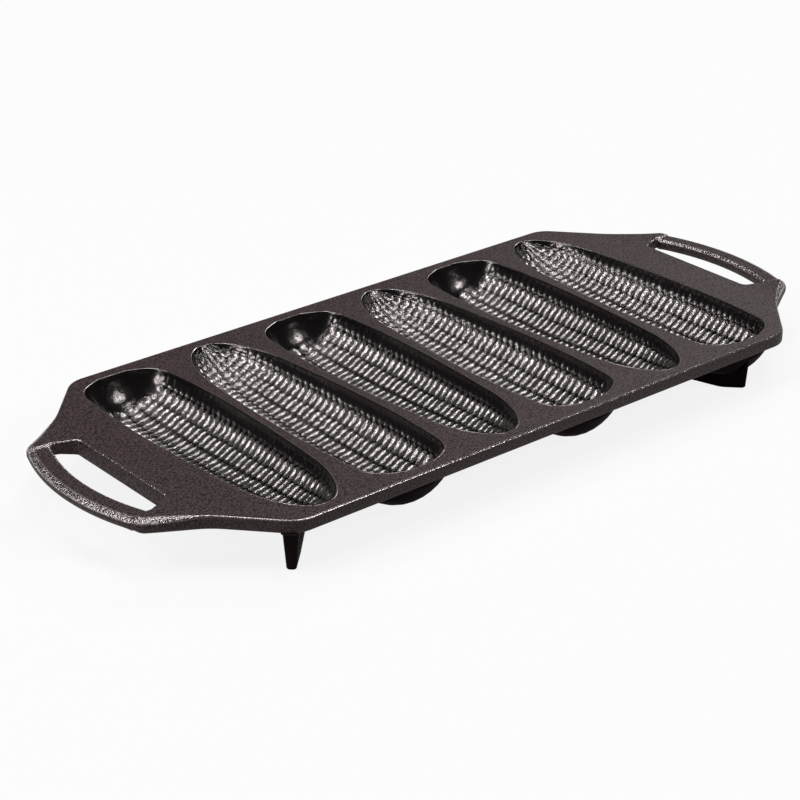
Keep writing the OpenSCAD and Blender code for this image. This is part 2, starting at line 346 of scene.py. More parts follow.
def castGrainGroup():
    # the skin of a sand casting: fine grain on a coarse mottle
    group = bpy.data.node_groups.new("castGrain", "ShaderNodeTree")
    face = group.interface
    face.new_socket("Grain Size", in_out="INPUT", socket_type="NodeSocketFloat")
    face.new_socket("Mottle Size", in_out="INPUT", socket_type="NodeSocketFloat")
    face.new_socket("Height", in_out="OUTPUT", socket_type="NodeSocketFloat")
    face.new_socket("Grain", in_out="OUTPUT", socket_type="NodeSocketFloat")
    face.new_socket("Mottle", in_out="OUTPUT", socket_type="NodeSocketFloat")
    n = addNodes(group, start="NodeGroupInput", end="NodeGroupOutput", place="ShaderNodeTexCoord",
                 fine="ShaderNodeTexNoise", coarse="ShaderNodeTexNoise", pits="ShaderNodeTexVoronoi",
                 pitRamp="ShaderNodeMapRange", sum="ShaderNodeMath", total="ShaderNodeMath")
    for key in ("fine", "coarse", "pits"):
        join(group, n["place"], "Object", n[key], "Vector")
    join(group, n["start"], "Grain Size", n["fine"], "Scale")
    join(group, n["start"], "Grain Size", n["pits"], "Scale")
    join(group, n["start"], "Mottle Size", n["coarse"], "Scale")
    n["fine"].inputs["Detail"].default_value = ironFinish["grainDetail"]
    n["coarse"].inputs["Detail"].default_value = ironFinish["mottleDetail"]
    join(group, n["pits"], "Distance", n["pitRamp"], "Value")
    n["pitRamp"].inputs["From Max"].default_value = ironFinish["pitReach"]
    n["sum"].operation = "MULTIPLY_ADD"
    join(group, n["pitRamp"], "Result", n["sum"], 0)
    n["sum"].inputs[1].default_value = ironFinish["pitShare"]
    join(group, n["fine"], "Fac", n["sum"], 2)
    n["total"].operation = "MULTIPLY_ADD"
    join(group, n["coarse"], "Fac", n["total"], 0)
    n["total"].inputs[1].default_value = ironFinish["mottleShare"]
    join(group, n["sum"], "Value", n["total"], 2)
    join(group, n["total"], "Value", n["end"], "Height")
    join(group, n["fine"], "Fac", n["end"], "Grain")
    join(group, n["coarse"], "Fac", n["end"], "Mottle")
    return group


def edgeWearGroup():
    # the rounded edges of upward faces, found by how steep the surface is
    group = bpy.data.node_groups.new("edgeWear", "ShaderNodeTree")
    group.interface.new_socket("Wear", in_out="OUTPUT", socket_type="NodeSocketFloat")
    n = addNodes(group, end="NodeGroupOutput", shape="ShaderNodeNewGeometry", split="ShaderNodeSeparateXYZ",
                 rise="ShaderNodeMapRange", fall="ShaderNodeMapRange", both="ShaderNodeMath")
    join(group, n["shape"], "Normal", n["split"], "Vector")
    for key, reach in (("rise", ironFinish["edgeRise"]), ("fall", ironFinish["edgeFall"])):
        n[key].interpolation_type = "SMOOTHSTEP"
        n[key].inputs["From Min"].default_value = reach[0]
        n[key].inputs["From Max"].default_value = reach[1]
        join(group, n["split"], "Z", n[key], "Value")
    n["both"].operation = "MULTIPLY"
    join(group, n["rise"], "Result", n["both"], 0)
    join(group, n["fall"], "Result", n["both"], 1)
    join(group, n["both"], "Value", n["end"], "Wear")
    return group


grainGroup = castGrainGroup()
wearGroup = edgeWearGroup()


def ranged(tree, source, output, results, reach=(0, 1)):
    # a value carried from its reach over to two results
    node = tree.nodes.new("ShaderNodeMapRange")
    for slot, value in zip(("From Min", "From Max", "To Min", "To Max"), (*reach, *results)):
        node.inputs[slot].default_value = value
    join(tree, source, output, node, "Value")
    return node


def blended(tree, factor, output, first, second):
    # colours or other nodes' colours, mixed by a mask
    node = tree.nodes.new("ShaderNodeMix")
    node.data_type = "RGBA"
    join(tree, factor, output, node, 0)
    for slot, value in ((6, first), (7, second)):
        if isinstance(value, tuple):
            node.inputs[slot].default_value = value + (1,)
        else:
            tree.links.new(value.outputs[2], node.inputs[slot])
    return node


def speckled(tree, grain, colour, shares, reach=ironFinish["grainReach"]):
    # the iron's colour, from its darkest to its palest grain
    spread = ranged(tree, grain, "Grain", (0, 1), reach)
    darkest, palest = (tuple(c * share for c in colour) for share in shares)
    return blended(tree, spread, "Result", darkest, palest)


def ironBase(name, grainSize, mottleSize, skin):
    # a cast surface with its own grain, and a bump that waits for its height
    material = bpy.data.materials.new(name)
    material.use_nodes = True
    tree = material.node_tree
    n = addNodes(tree, grain="ShaderNodeGroup", bump="ShaderNodeBump")
    n["grain"].node_tree = grainGroup
    n["grain"].inputs["Grain Size"].default_value = grainSize
    n["grain"].inputs["Mottle Size"].default_value = mottleSize
    n["bump"].inputs["Distance"].default_value = skin * mm
    join(tree, n["bump"], "Normal", tree.nodes["Principled BSDF"], "Normal")
    return material, tree, tree.nodes["Principled BSDF"], n["grain"], n["bump"]


def deckMaterial():
    finish = ironFinish
    sizes = finish["deckGrain"], finish["deckMottle"], finish["deckSkin"]
    material, tree, shader, grain, bump = ironBase("deckIron", *sizes)
    n = addNodes(tree, wear="ShaderNodeGroup", place="ShaderNodeTexCoord", split="ShaderNodeSeparateXYZ",
                 away="ShaderNodeMath", height="ShaderNodeMath", pebbles="ShaderNodeGroup",
                 total="ShaderNodeMath")
    n["wear"].node_tree = wearGroup
    n["pebbles"].node_tree = grainGroup
    n["pebbles"].inputs["Grain Size"].default_value = finish["pebbleSize"]
    n["pebbles"].inputs["Mottle Size"].default_value = finish["pebbleMottle"]
    join(tree, n["place"], "Object", n["split"], "Vector")
    n["away"].operation = "ABSOLUTE"
    join(tree, n["split"], "X", n["away"], 0)
    onEdges = ranged(tree, n["wear"], "Wear", (1, finish["edgeSkin"]))
    onGrips = ranged(tree, n["away"], "Value", (0, finish["gripSkin"]), finish["gripReach"])
    n["height"].operation = "MULTIPLY"
    join(tree, grain, "Height", n["height"], 0)
    join(tree, onEdges, "Result", n["height"], 1)
    n["total"].operation = "MULTIPLY_ADD"
    join(tree, n["pebbles"], "Height", n["total"], 0)
    join(tree, onGrips, "Result", n["total"], 1)
    join(tree, n["height"], "Value", n["total"], 2)
    join(tree, n["total"], "Value", bump, "Height")
    plain = speckled(tree, grain, finish["deckColour"], finish["deckSpeckle"], finish["deckSpeckleReach"])
    colour = blended(tree, n["wear"], "Wear", plain, finish["edgeColour"])
    tree.links.new(colour.outputs[2], shader.inputs["Base Color"])
    metal = ranged(tree, n["wear"], "Wear", (0, finish["edgeMetallic"]))
    join(tree, metal, "Result", shader, "Metallic")
    rough = ranged(tree, n["wear"], "Wear", (finish["deckRoughness"], finish["edgeRoughness"]))
    join(tree, rough, "Result", shader, "Roughness")
    shader.inputs["Specular IOR Level"].default_value = finish["deckShine"]
    return material


def mouldMaterial():
    finish = ironFinish
    sizes = finish["mouldGrain"], finish["mouldMottle"], finish["mouldSkin"]
    material, tree, shader, grain, bump = ironBase("mouldIron", *sizes)
    seasoningAndShade = tree.nodes.new("ShaderNodeAttribute")
    seasoningAndShade.attribute_name = "seasoningAndShade"
    calm = ranged(tree, seasoningAndShade, "Fac", (1, finish["darkeningSkin"]), finish["darkeningReach"])
    height = tree.nodes.new("ShaderNodeMath")
    height.operation = "MULTIPLY"
    join(tree, grain, "Height", height, 0)
    join(tree, calm, "Result", height, 1)
    join(tree, height, "Value", bump, "Height")
    plain = speckled(tree, grain, finish["mouldColour"], finish["mouldSpeckle"])
    # dark seasoning and painted shade over the bare iron's colour
    colour = blended(tree, seasoningAndShade, "Fac", plain, finish["mouldDark"])
    tree.links.new(colour.outputs[2], shader.inputs["Base Color"])
    bare, darkened = finish["mouldRoughness"], finish["mouldRoughness"] * finish["darkeningRoughness"]
    rough = ranged(tree, seasoningAndShade, "Fac", (bare, darkened), finish["darkeningReach"])
    join(tree, rough, "Result", shader, "Roughness")
    shader.inputs["Metallic"].default_value = finish["mouldMetallic"]
    return material


def undersideMaterial():
    finish = ironFinish
    sizes = finish["undersideGrain"], finish["undersideMottle"], finish["undersideSkin"]
    material, tree, shader, grain, bump = ironBase("undersideIron", *sizes)
    join(tree, grain, "Height", bump, "Height")
    # painted shade: darker than the deck's iron
    plain = speckled(tree, grain, finish["undersideColour"], finish["undersideSpeckle"])
    tree.links.new(plain.outputs[2], shader.inputs["Base Color"])
    shader.inputs["Roughness"].default_value = finish["undersideRoughness"]
    shader.inputs["Specular IOR Level"].default_value = finish["undersideShine"]
    return material


deckIron = deckMaterial()
mouldIron = mouldMaterial()
undersideIron = undersideMaterial()
print("materials ready")


# The six moulds, each a closed shell with the stem end at one side and the nose at the other

def cornMould(number):
    seed = cobMould["seed"] + number
    layout = kernelLayout(seed)
    lipDepth, axis = cobMould["lipRound"], cobMould["axisHeight"]
    lumps, lumpShift = cobMould["unevenScale"], cobMould["lumpShift"]
    points, tones, faces, finishes, flats = [], [], [], [], []

    def place(point, tone=cobMould["plainTone"]):
        points.append(tuple(point))
        tones.append(tone)
        return len(points) - 1

    def face(corners, finish=0, flat=False):
        kept = [c for k, c in enumerate(corners) if c != corners[k - 1]]
        if len(kept) > 2:
            faces.append(kept)
            finishes.append(finish)
            flats.append(flat)

    # the cavity: one ring of points for each station, sunk by the kernels
    rings = []
    for s in stations:
        reach = math.hypot(cobHalf(s), axis)
        if s == stations[-1] or reach <= axis + lipDepth:
            rings.append([place((0.0, cobMould["length"] / 2 - s, -lipDepth))] * (acrossCount + 1))
            continue
        edge = math.acos((axis + lipDepth) / reach) / math.acos(axis / reach)
        ring = []
        for j in range(acrossCount + 1):
            u = edge * (2 * j / acrossCount - 1)
            x, y, z = cavityPoint(s, u, 0)
            tone = cobMould["plainTone"]
            if 0 < j < acrossCount:
                fromNose = cobMould["length"] - cobMould["noseGap"] - s
                fade = smoothStep(*cobMould["lipFade"], -z) * smoothStep(0, cobMould["noseFade"], fromNose)
                spot = (x * lumps + number * lumpShift, y * lumps, z * lumps)
                uneven = cobMould["unevenness"] * noise.noise(spot)
                sink, tone = kernelAt(s, u, layout, seed)
                x, y, z = cavityPoint(s, u, (sink + uneven) * fade)
            ring.append(place((x, y, z), tone))
        rings.append(ring)

    # the stem end's short upright face, from the first ring up to the lip
    upright = [rings[0]]
    low = [points[c] for c in rings[0][1:-1]]
    for step in range(1, cobMould["uprightSteps"] + 1):
        share = step / cobMould["uprightSteps"]
        ring = [place((x, y, mix(z, -lipDepth, share))) for x, y, z in low]
        upright.append([rings[0][0]] + ring + [rings[0][-1]])
    grid = upright[::-1] + rings[1:]
    for a, b in zip(grid[:-1], grid[1:]):
        for j in range(acrossCount):
            face((a[j], b[j], b[j + 1], a[j + 1]))

    # the rounded lip, the flat rim, and the wall that stands against the deck
    left = [ring[0] for ring in rings[:-1]]
    right = [ring[-1] for ring in rings[:-1]]
    border = [rings[-1][0]] + left[::-1] + upright[-1][1:-1] + right
    count = len(border)
    loops = [border]
    for step in range(1, cobMould["lipSteps"] + 1):
        t = step / cobMould["lipSteps"]
        loop = []
        for c, bend, end in zip(border, lip, rimInner):
            x, y = ((1 - t) ** 2 * points[c][k] + 2 * t * (1 - t) * bend[k] + t * t * end[k] for k in (0, 1))
            loop.append(place((x, y, -(1 - t) ** 2 * lipDepth)))
        loops.append(loop)
    loops.append([place((x, y, 0)) for x, y in rimOuter])
    loops.append([place((x, y, -cobMould["deckThickness"])) for x, y in rimOuter])

    # the shell's outside, in levels from the deck down to its keel
    levels = cobMould["shellLevels"]
    for level in range(levels + 1):
        u = math.cos(math.pi / 2 * level / levels) if level < levels else 0.0
        loop = []
        for i in range(count):
            if i == 0:
                x, y, z = shellPoint(cobMould["length"], u)
                loop.append(place((0.0, y, z)))
            elif i <= len(left):
                loop.append(place(shellPoint(stations[len(left) - i], -u)))
            elif i < len(left) + acrossCount:
                x, y, z = shellPoint(0, u)
                loop.append(place((x * (2 * (i - len(left)) / acrossCount - 1), y, z)))
            else:
                loop.append(place(shellPoint(stations[i - len(left) - acrossCount], u)))
        loops.append(loop)

    # bands between the loops: the lip's first steps are finished as the cavity, the rim as the deck
    irons = (mouldIron, deckIron, undersideIron)
    rimBand, wallBand = cobMould["lipSteps"] - 2, cobMould["lipSteps"] + 1
    for band, (a, b) in enumerate(zip(loops[:-1], loops[1:])):
        finish = (band >= rimBand) + (band >= wallBand)
        for i in range(count):
            k = (i + 1) % count
            face((a[i], b[i], b[k], a[k]), finish, band in (wallBand, wallBand + 1))

    placed = [turned(number, x, y) + (z + deckTop,) for x, y, z in points]
    piece = solidPiece("cornMould%d" % number, placed, faces, finishes, flats, irons, tones=tones)
    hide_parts("corn_well_%d" % number)
    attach(piece, "root")


mouldNumbers = range(1, cobMould["count"] + 1)
for number in mouldNumbers:
    cornMould(number)
print("six moulds made")


# Deck and grips, made as one skin and parted at the grips' seats

deckForm = {
    "halfWidth": 72.5,
    "cornerX": 123.1,
    "cornerRadius": 12.0,
    "flankAngle": 47.7,
    "hollowRadius": 34.0,
    "knuckleRadius": 5.0,
    "knuckleAngle": 31.0,
    "knuckleRise": 8.7,            # the knuckle's corner lies this far past the slot's end
    "slotX": 147.2,
    "slotHalf": 28.5,
    "slotFlare": 20.8,
    "slotCornerRadius": 3.0,
    "rootRadius": 0.8,             # where the slot's end meets the grip
    "slotDraft": 1.6,              # the slot's straight wall leans out by this much at the underside
    "draftFade": (148, 152),       # and is upright again past here
    "thickness": 5.2,
    "earThickness": 6.0,
    "earReach": (141, 160),        # where the deck turns into the ears beside the slots
    "edgeRound": 0.8,
    "edgeUnder": 0.6,              # the same edges at the underside
    "earRound": 2.9,
    "earBroad": 1.25,              # the ears' rounding reaches further in than down
    "earUnder": 2.0,
    "slotRound": 0.7,
    "slotUnder": 0.6,
    "flatStrip": 0.15,             # narrow flat band inside each rounding
}
gripForm = {
    "fingerGap": 15.6,
    "radius": 93.0,                # at the middle of the bar
    "width": 9.1,
    "thickness": 5.1,
    "drop": 0.7,                   # the bar's top lies this far below the deck
    "seatY": 30.2,                 # where bar and deck are parted
    "outerRound": 2.5,
    "outerBroad": 3.9,             # how far in the bar's outer rounding reaches
    "outerUnder": 2.5,
    "innerRound": 1.7,
    "innerUnder": 2.4,
    "stepEnd": (167.7, 33.3),      # the step down to the bar runs from the slot's end to here
    "stepHalf": 0.45,
    "stepInside": (-1.2, 0.2),
    "thinning": (-6, 3),           # how the iron thins towards the bar, across the step
    "fromX": 150,                  # a grip's own forms begin past here
    "thinFromX": 152,
    "barFromX": 154,
    "ringSlack": 0.35,             # iron this far inside the bar's arc still counts as its own
}
skinMesh = {
    "cornerStep": 0.9,             # longest steps round the corners and along the runs
    "knuckleStep": 0.6,
    "knuckleRun": 1.0,
    "hollowStep": 1.2,
    "rootStep": 0.3,
    "outsideRun": 5.0,
    "slotRun": 2.5,
    "barSteps": 26,
    "roundSteps": 8,
    "underSteps": 5,
    # extra points round the step at each grip's end
    "stepRows": (-2.2, -1.2, -0.6, -0.3, 0, 0.3, 0.6, 1.2),
    "stepColumns": range(-2, 14),
    "columnGap": 0.9,
    "stepClear": 0.35,
    "sliver": 1e-4,                # fill triangles with less than half this area are left out
    "sameSpot": 1e-5,
}

gripCentreX = deckForm["slotX"] + gripForm["fingerGap"] + gripForm["width"] / 2 - gripForm["radius"]
gripOuter = gripForm["radius"] + gripForm["width"] / 2
gripInner = gripForm["radius"] - gripForm["width"] / 2


def onGrip(radius, y):
    # a point of the right grip's arc
    return (gripCentreX + math.sqrt(radius * radius - y * y), y)


def roundedCorner(before, corner, after, radius, stepLength=skinMesh["cornerStep"]):
    p = Vector(corner)
    u, v = (Vector(before) - p).normalized(), (Vector(after) - p).normalized()
    halfTurn = math.acos(max(-1, min(1, u.dot(v)))) / 2
    centre = p + (u + v).normalized() * radius / math.sin(halfTurn)
    start = p + u * radius / math.tan(halfTurn) - centre
    finish = p + v * radius / math.tan(halfTurn) - centre
    turn = math.atan2(start.x * finish.y - start.y * finish.x, start.dot(finish))
    steps = max(3, math.ceil(abs(turn) * radius / stepLength))
    result = []
    for i in range(steps + 1):
        a = turn * i / steps
        result.append((centre.x + start.x * math.cos(a) - start.y * math.sin(a),
                       centre.y + start.x * math.sin(a) + start.y * math.cos(a)))
    return result


def withSteps(points, longest):
    result = [points[0]]
    for a, b in zip(points[:-1], points[1:]):
        steps = max(1, math.ceil(math.dist(a, b) / longest))
        result += [(mix(a[0], b[0], k / steps), mix(a[1], b[1], k / steps)) for k in range(1, steps + 1)]
    return result


def deckPlan():
    # one quarter of the outside, from the grip's middle round to the long edge
    d, g, m = deckForm, gripForm, skinMesh
    knuckleY = d["slotHalf"] + d["knuckleRise"]
    knuckle = onGrip(gripOuter, knuckleY)
    flankSlope = math.tan(math.radians(d["flankAngle"]))
    knuckleSlope = math.tan(math.radians(d["knuckleAngle"]))
    hollowX = (d["halfWidth"] + flankSlope * d["cornerX"] - knuckleY - knuckleSlope * knuckle[0]) \
        / (flankSlope - knuckleSlope)
    hollow = (hollowX, knuckleY + knuckleSlope * (knuckle[0] - hollowX))
    corner = (d["cornerX"], d["halfWidth"])
    seat = onGrip(gripOuter, g["seatY"])
    steps = m["barSteps"]
    bar = [onGrip(gripOuter, g["seatY"] * k / steps) for k in range(steps + 1)]
    bend = roundedCorner(seat, knuckle, hollow, d["knuckleRadius"], m["knuckleStep"])
    quarter = bar + withSteps([seat] + bend, m["knuckleRun"])[1:]
    quarter += roundedCorner(knuckle, hollow, corner, d["hollowRadius"], m["hollowStep"])
    quarter += roundedCorner(hollow, corner, (0, d["halfWidth"]), d["cornerRadius"]) + [(0, d["halfWidth"])]
    quarter = withSteps(quarter, m["outsideRun"])
    outside = quarter + [(-x, y) for x, y in quarter[-2::-1]]
    outside += [(-x, -y) for x, y in quarter[1:]] + [(x, -y) for x, y in quarter[-2:0:-1]]

    # half of a slot: deck side, end, root of the grip, and the grip's inner arc
    slotCorner = (d["slotX"], d["slotHalf"])
    rootY = g["seatY"]
    for _ in range(20):      # nears the point where the flared end meets the arc
        rootX = onGrip(gripInner, rootY)[0]
        rootY = d["slotHalf"] + (rootX - d["slotX"]) * math.tan(math.radians(d["slotFlare"]))
    root = (rootX, rootY)
    innerSeat = onGrip(gripInner, g["seatY"])
    arc = [onGrip(gripInner, g["seatY"] * k / steps) for k in range(steps, -1, -1)]
    start = (d["slotX"], 0)
    half = [start] + roundedCorner(start, slotCorner, root, d["slotCornerRadius"], m["knuckleStep"])
    half += roundedCorner(slotCorner, root, innerSeat, d["rootRadius"], m["rootStep"]) + arc
    half = withSteps(half, m["slotRun"])
    slot = half + [(x, -y) for x, y in half[-2:0:-1]]
    return outside, slot, root


outsidePlan, slotPlan, gripRoot = deckPlan()
stepStart = Vector(gripRoot)
stepAlong = (Vector(gripForm["stepEnd"]) - stepStart).normalized()


def gripShare(x, y):
    # 0 on the deck, 1 on a grip's bar
    p = Vector((abs(x), abs(y))) - stepStart
    past = -(stepAlong.x * p.y - stepAlong.y * p.x)
    down = smoothStep(-gripForm["stepHalf"], gripForm["stepHalf"], past)
    return down * smoothStep(*gripForm["stepInside"], abs(x) - stepStart.x)


def inGripRing(x, y):
    radius = math.hypot(abs(x) - gripCentreX, y)
    return abs(x) > gripForm["fromX"] and radius > gripInner - gripForm["ringSlack"]


def earShare(x):
    return smoothStep(*deckForm["earReach"], abs(x))


def topHeight(x, y):
    return deckTop - gripForm["drop"] * gripShare(x, y)


def ironThickness(x, y):
    deck = mix(deckForm["thickness"], deckForm["earThickness"], earShare(x))
    thinned = smoothStep(*gripForm["thinning"], stepStart.y - abs(y))
    return mix(deck, gripForm["thickness"], thinned if abs(x) > gripForm["thinFromX"] else 0)


def insideLoop(loop, x, y):
    inside = False
    for i, (bx, by) in enumerate(loop):
        ax, ay = loop[i - 1]
        if (ay > y) != (by > y) and x < (bx - ax) * (y - ay) / (by - ay) + ax:
            inside = not inside
    return inside


def ironSkin():
    slots = [slotPlan, [(-x, -y) for x, y in slotPlan]]
    points, faces, parts = [], [], []
    m, strip = skinMesh, deckForm["flatStrip"]

    def partOf(x, y):
        if abs(y) < gripForm["seatY"] and inGripRing(x, y):
            return "right" if x > 0 else "left"
        return "deck"

    def rounds(x, y, onSlot):
        # how far the edge's rounding reaches in and down from the top, and at the underside
        d, g = deckForm, gripForm
        grip = gripShare(x, y) if abs(x) > g["fromX"] else 0
        ear = earShare(x)
        if onSlot:
            bar = grip if abs(x) > g["barFromX"] else 0
            top = mix(d["slotRound"], g["innerRound"], bar)
            return top, top, mix(d["slotUnder"], g["innerUnder"], bar)
        top = mix(d["edgeRound"], d["earRound"], ear)
        broad = top * mix(1, d["earBroad"], ear)
        under = mix(d["edgeUnder"], d["earUnder"], ear)
        onBar = g["outerBroad"], g["outerRound"], g["outerUnder"]
        return [mix(onDeck, bar, grip) for onDeck, bar in zip((broad, top, under), onBar)]

    supports = []      # for each loop: its innermost points on the top and on the underside
    for loop, onSlot in ((outsidePlan, False), (slots[0], True), (slots[1], True)):
        inward = movedLoop(loop, 1.0)
        columns = []
        for (x, y), (ix, iy) in zip(loop, inward):
            dx, dy = ix - x, iy - y
            broad, upper, under = rounds(x, y, onSlot)
            lean = 1 - smoothStep(*deckForm["draftFade"], abs(x)) if onSlot else 0
            draft = deckForm["slotDraft"] * lean
            column = []

            def add(inset, fall, fromTop):
                px, py = x + dx * inset, y + dy * inset
                z = topHeight(px, py)
                z = z - fall if fromTop else z - ironThickness(px, py) + fall
                points.append((px, py, z))
                column.append(len(points) - 1)

            add(broad + strip, 0, True)
            for k in range(m["roundSteps"] + 1):
                a = math.pi / 2 * (1 - k / m["roundSteps"])
                add(broad * (1 - math.cos(a)), upper * (1 - math.sin(a)), True)
            for k in range(m["underSteps"] + 1):
                a = math.pi / 2 * k / m["underSteps"]
                add(under * (1 - math.cos(a)) - draft, under * (1 - math.sin(a)), False)
            add(under + strip - draft, 0, False)
            columns.append(column)
        for i, column in enumerate(columns):
            after = columns[(i + 1) % len(columns)]
            here, there = loop[i], loop[(i + 1) % len(loop)]
            x, y = (here[0] + there[0]) / 2, (here[1] + there[1]) / 2
            for k in range(len(column) - 1):
                faces.append((column[k], column[k + 1], after[k + 1], after[k]))
                parts.append(partOf(x, y))
        supports.append(columns)

    # edges of the six mould openings, run the same way as the slots: iron on the left
    openings = []
    for number in mouldNumbers:
        top, bottom = [], []
        for x, y in rimOuter:
            px, py = turned(number, x, y)
            points.append((px, py, deckTop))
            top.append(len(points) - 1)
            points.append((px, py, deckTop - deckForm["thickness"]))
            bottom.append(len(points) - 1)
        openings.append((top, bottom))

    # both broad faces, filled between all the loops
    for isTop in (True, False):
        loops = [[column[0] if isTop else column[-1] for column in columns] for columns in supports]
        loops += [top if isTop else bottom for top, bottom in openings]
        flat, index, edges = [], [], []
        for loop in loops:
            base = len(flat)
            flat += [Vector(points[c][:2]) for c in loop]
            index += loop
            edges += [(base + k, base + (k + 1) % len(loop)) for k in range(len(loop))]
        bounds = [[tuple(points[c][:2]) for c in loop] for loop in loops]

        # the two parting lines of each grip
        for side, slot in ((1, 1), (-1, 2)):
            for end in (1, -1):
                target = [onGrip(r, gripForm["seatY"]) for r in (gripOuter, gripInner)]
                picks = []
                for loopNumber, (tx, ty) in ((0, target[0]), (slot, target[1])):
                    plan = outsidePlan if loopNumber == 0 else slots[slot - 1]
                    near = min(range(len(plan)), key=lambda k: math.dist(plan[k], (side * tx, end * ty)))
                    picks.append(sum(len(l) for l in loops[:loopNumber]) + near)
                edges.append(tuple(picks))
                if side == end == 1:
                    seatOut, seatIn = flat[picks[0]], flat[picks[1]]

        # more points round the step at each grip's end, on the iron and clear of its edges
        outside, rightSlot, leftSlot = bounds[:3]
        across = Vector((stepAlong.y, -stepAlong.x))
        for sx, sy, past, k in product((1, -1), (1, -1), m["stepRows"], m["stepColumns"]):
            p = stepStart + stepAlong * (k * m["columnGap"]) + across * past
            x, y = p.x * sx, p.y * sy
            if not insideLoop(outside, x, y) or insideLoop(rightSlot, x, y) or insideLoop(leftSlot, x, y):
                continue
            if min(math.dist((x, y), q) for b in bounds[:3] for q in b) < m["stepClear"]:
                continue
            points.append((x, y, topHeight(x, y) - (0 if isTop else ironThickness(x, y))))
            flat.append(Vector((x, y)))
            index.append(len(points) - 1)

        outVerts, _, outFaces, origins, _, _ = delaunay_2d_cdt(flat, edges, [], 0, m["sameSpot"])
        names = []
        for k, origin in enumerate(origins):
            if origin:
                names.append(index[origin[0]])
            else:
                x, y = outVerts[k]
                points.append((x, y, topHeight(x, y) - (0 if isTop else ironThickness(x, y))))
                names.append(len(points) - 1)
        for triangle in outFaces:
            x = sum(outVerts[k][0] for k in triangle) / 3
            y = sum(outVerts[k][1] for k in triangle) / 3
            if not insideLoop(bounds[0], x, y) or any(insideLoop(b, x, y) for b in bounds[1:]):
                continue
            a, b, c = (Vector(outVerts[k]) for k in triangle)
            doubleArea = (b - a).x * (c - a).y - (b - a).y * (c - a).x
            if abs(doubleArea) < m["sliver"]:
                continue
            corners = [names[k] for k in triangle]
            faces.append(tuple(corners if (doubleArea > 0) == isTop else corners[::-1]))
            seat, spot = seatIn - seatOut, Vector((abs(x), abs(y))) - seatOut
            onBar = seat.x * spot.y - seat.y * spot.x > 0 and inGripRing(x, y)
            parts.append(("right" if x > 0 else "left") if onBar else "deck")
    return points, faces, parts, openings


def faceNormal(corners):
    normal = Vector((0, 0, 0))
    for a, b in zip(corners, corners[1:] + corners[:1]):
        normal += a.cross(b)
    return normal.normalized()


def skinNormals(points, faces):
    # smooth normals for the whole skin, so that its parts meet without a seam
    sums = [Vector((0, 0, 0)) for _ in points]
    for face in faces:
        corners = [Vector(points[c]) for c in face]
        normal = faceNormal(corners)
        for k, c in enumerate(face):
            a, b = corners[k - 1] - corners[k], corners[(k + 1) % len(corners)] - corners[k]
            sums[c] += normal * a.angle(b, 0.0)
    return [n.normalized() if n.length > 0 else Vector((0, 0, 1)) for n in sums]


def openEdges(faces):
    # runs of edges that only one face uses, as closed loops, in the faces' own direction
    used = {(a, b) for face in faces for a, b in zip(face, face[1:] + face[:1])}
    following = {}
    for a, b in used:
        if (b, a) not in used:
            following.setdefault(a, []).append(b)
    loops = []
    while following:
        start = next(iter(following))
        loop, here = [], start
        while True:
            loop.append(here)
            after = following[here].pop()
            if not following[here]:
                del following[here]
            here = after
            if here == start:
                break
        loops.append(loop)
    return loops


def deckAndGrips():
    points, faces, parts, openings = ironSkin()
    normals = skinNormals(points, faces)
    for name, part, node in (("deckPlate", "deck", "deck_plate"), ("leftGrip", "left", "left_handle"),
                             ("rightGrip", "right", "right_handle")):
        own = [face for face, p in zip(faces, parts) if p == part]
        closing = []
        if part == "deck":
            for top, bottom in openings:
                for i in range(len(top)):
                    k = (i + 1) % len(top)
                    closing.append((top[i], bottom[i], bottom[k], top[k]))
        ends = []      # the parting faces, as fans round their middles
        for loop in openEdges(own + closing):
            middle = Vector([sum(points[c][k] for c in loop) / len(loop) for k in range(3)])
            points.append(tuple(middle))
            normals.append(Vector((0, 0, 1)))
            ends += [(b, a, len(points) - 1) for a, b in zip(loop, loop[1:] + loop[:1])]
        closing += ends
        used = sorted({c for face in own + closing for c in face})
        number = {c: k for k, c in enumerate(used)}
        faceList, cornerNormals = [], []
        for face in own:
            faceList.append([number[c] for c in face])
            cornerNormals += [tuple(normals[c]) for c in face]
        for face in closing:
            faceList.append([number[c] for c in face])
            cornerNormals += [tuple(faceNormal([Vector(points[c]) for c in face]))] * len(face)
        places, finishes, flats = [points[c] for c in used], [0] * len(faceList), [False] * len(faceList)
        piece = solidPiece(name, places, faceList, finishes, flats, (deckIron,), cornerNormals)
        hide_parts(node)
        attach(piece, "root")


deckAndGrips()
print("deck and grips made")


# The four feet, each a fin that stands diagonally under a corner

footForm = {
    "tipLength": 9.3,
    "tipThickness": 3.6,
    "rootThickness": 5.8,
    "length": 27.0,
    "rise": 14.0,                    # slope of the underside towards the pan's middle, in degrees
    "flare": 3.4,                    # fillet under the deck at the outer end
    "draft": 0.8,
    "inset": 5.1,                    # from the deck's long edge
    "shift": 15.7,                   # the outer feet stand this far past the last mould's middle
    "tipRound": 0.9,
    "sideRound": 1.1,
    "sideShare": 0.95,               # most of a thin fin's half thickness that its rounding takes
    "cornerSteps": 6,
    "tipAngles": (0, 22, 45, 67, 90),
    "heights": (1.5, 2.5, 3.5, 4.4, 6, 8, 10, 12),
    "flareSteps": 6,
    # the block that cuts the feet where they meet a mould
    "blockAcross": 24,
    "blockStep": 6,
    "blockRise": 6,
}
underDeck = deckTop - deckForm["thickness"]


